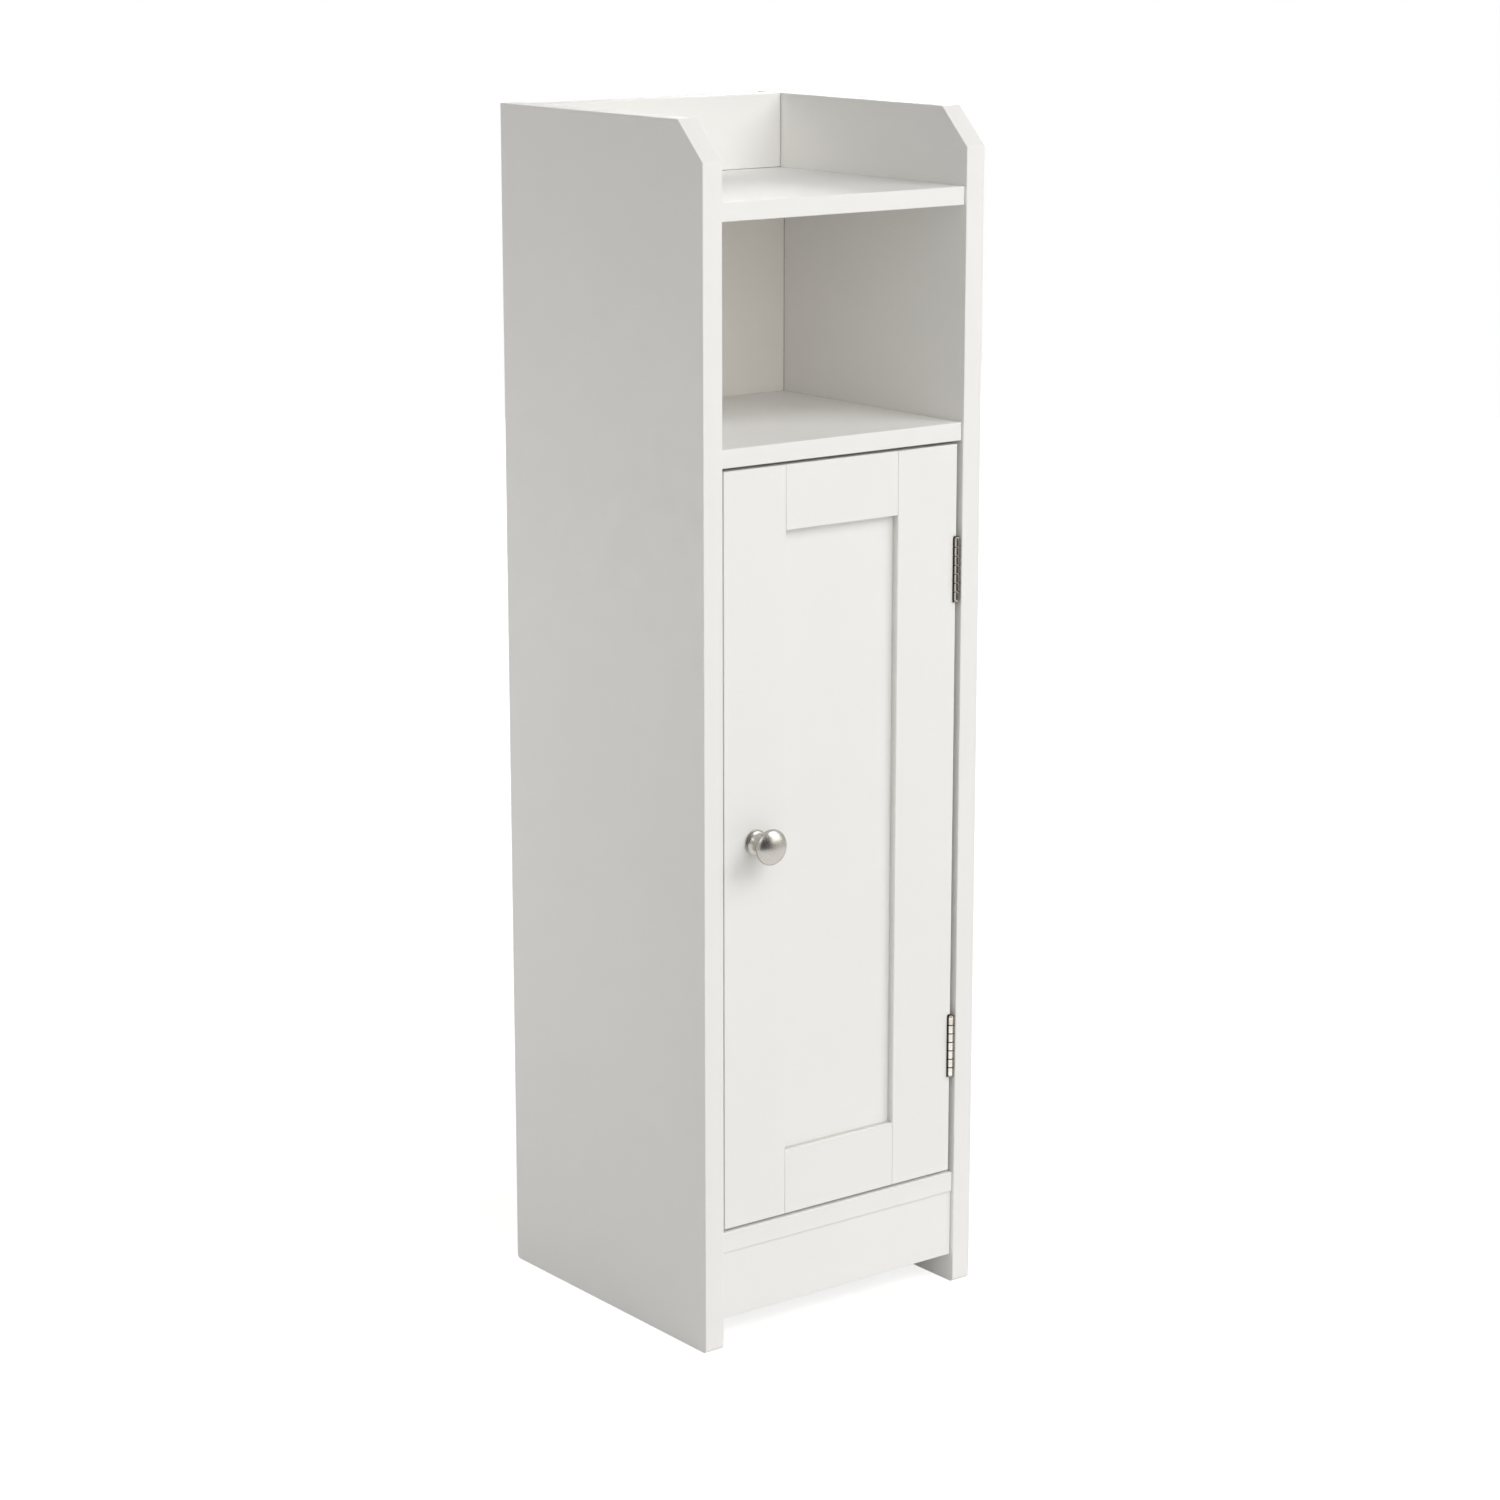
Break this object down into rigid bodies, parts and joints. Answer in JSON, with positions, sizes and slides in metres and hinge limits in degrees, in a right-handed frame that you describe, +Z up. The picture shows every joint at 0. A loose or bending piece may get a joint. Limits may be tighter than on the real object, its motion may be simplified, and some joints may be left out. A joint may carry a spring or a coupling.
{
  "type": "narrow bathroom cabinet",
  "caption": "Tall narrow cabinet in white painted board, with a top tray, an open compartment and a framed door on butt hinges above a plinth.",
  "frame": {"origin": "on the floor, midway between the side panels and midway between the front of the knob and the rear edges of the side panels", "axes": "+Z up, -Y the front where the door is, +X the hinge side, to the right of someone who faces the door"},
  "size_m": [0.227, 0.2406, 0.8],
  "materials": {
    "white_paint": "fibreboard with satin white paint",
    "hardboard": "brown hardboard, white on its inner face",
    "satin_nickel": "satin nickel plate",
    "zinc_plated": "bright zinc plate",
    "beech": "plain turned beech",
    "white_plastic": "moulded, satin",
    "ferrite": "sintered, matt"
  },
  "bodies": {
    "cabinet": {"side_panel_left": "white_paint", "side_panel_right": "white_paint", "top_shelf": "white_paint", "middle_shelf": "white_paint", "bottom_panel": "white_paint", "inner_shelf": "white_paint", "plinth": "white_paint", "tray_back": "white_paint", "back_panel": "hardboard", "shelf_pins": "zinc_plated", "cam_bolts": "zinc_plated", "cam_locks": "zinc_plated", "dowels": "beech", "back_nails": "zinc_plated", "hinge_upper_frame_leaf": "satin_nickel", "hinge_upper_pin": "satin_nickel", "hinge_lower_frame_leaf": "satin_nickel", "hinge_lower_pin": "satin_nickel", "hinge_screws_frame": "satin_nickel", "catch_body": "white_plastic", "catch_magnet": "ferrite", "catch_poles": "zinc_plated", "catch_screws": "zinc_plated"},
    "door": {"door_stile_left": "white_paint", "door_stile_right": "white_paint", "door_rail_top": "white_paint", "door_rail_bottom": "white_paint", "door_panel": "white_paint", "knob": "satin_nickel", "knob_screw": "zinc_plated", "hinge_upper_door_leaf": "satin_nickel", "hinge_lower_door_leaf": "satin_nickel", "hinge_screws_door": "satin_nickel", "strike_plate": "zinc_plated", "strike_screw": "zinc_plated"}
  },
  "joints": [
    {"name": "door_swing", "type": "hinge", "parent": "cabinet", "child": "door", "pos_m": [0.0955, -0.0988, 0.3354], "axis": [0, 0, 1], "range_deg": [0, 145]}
  ]
}
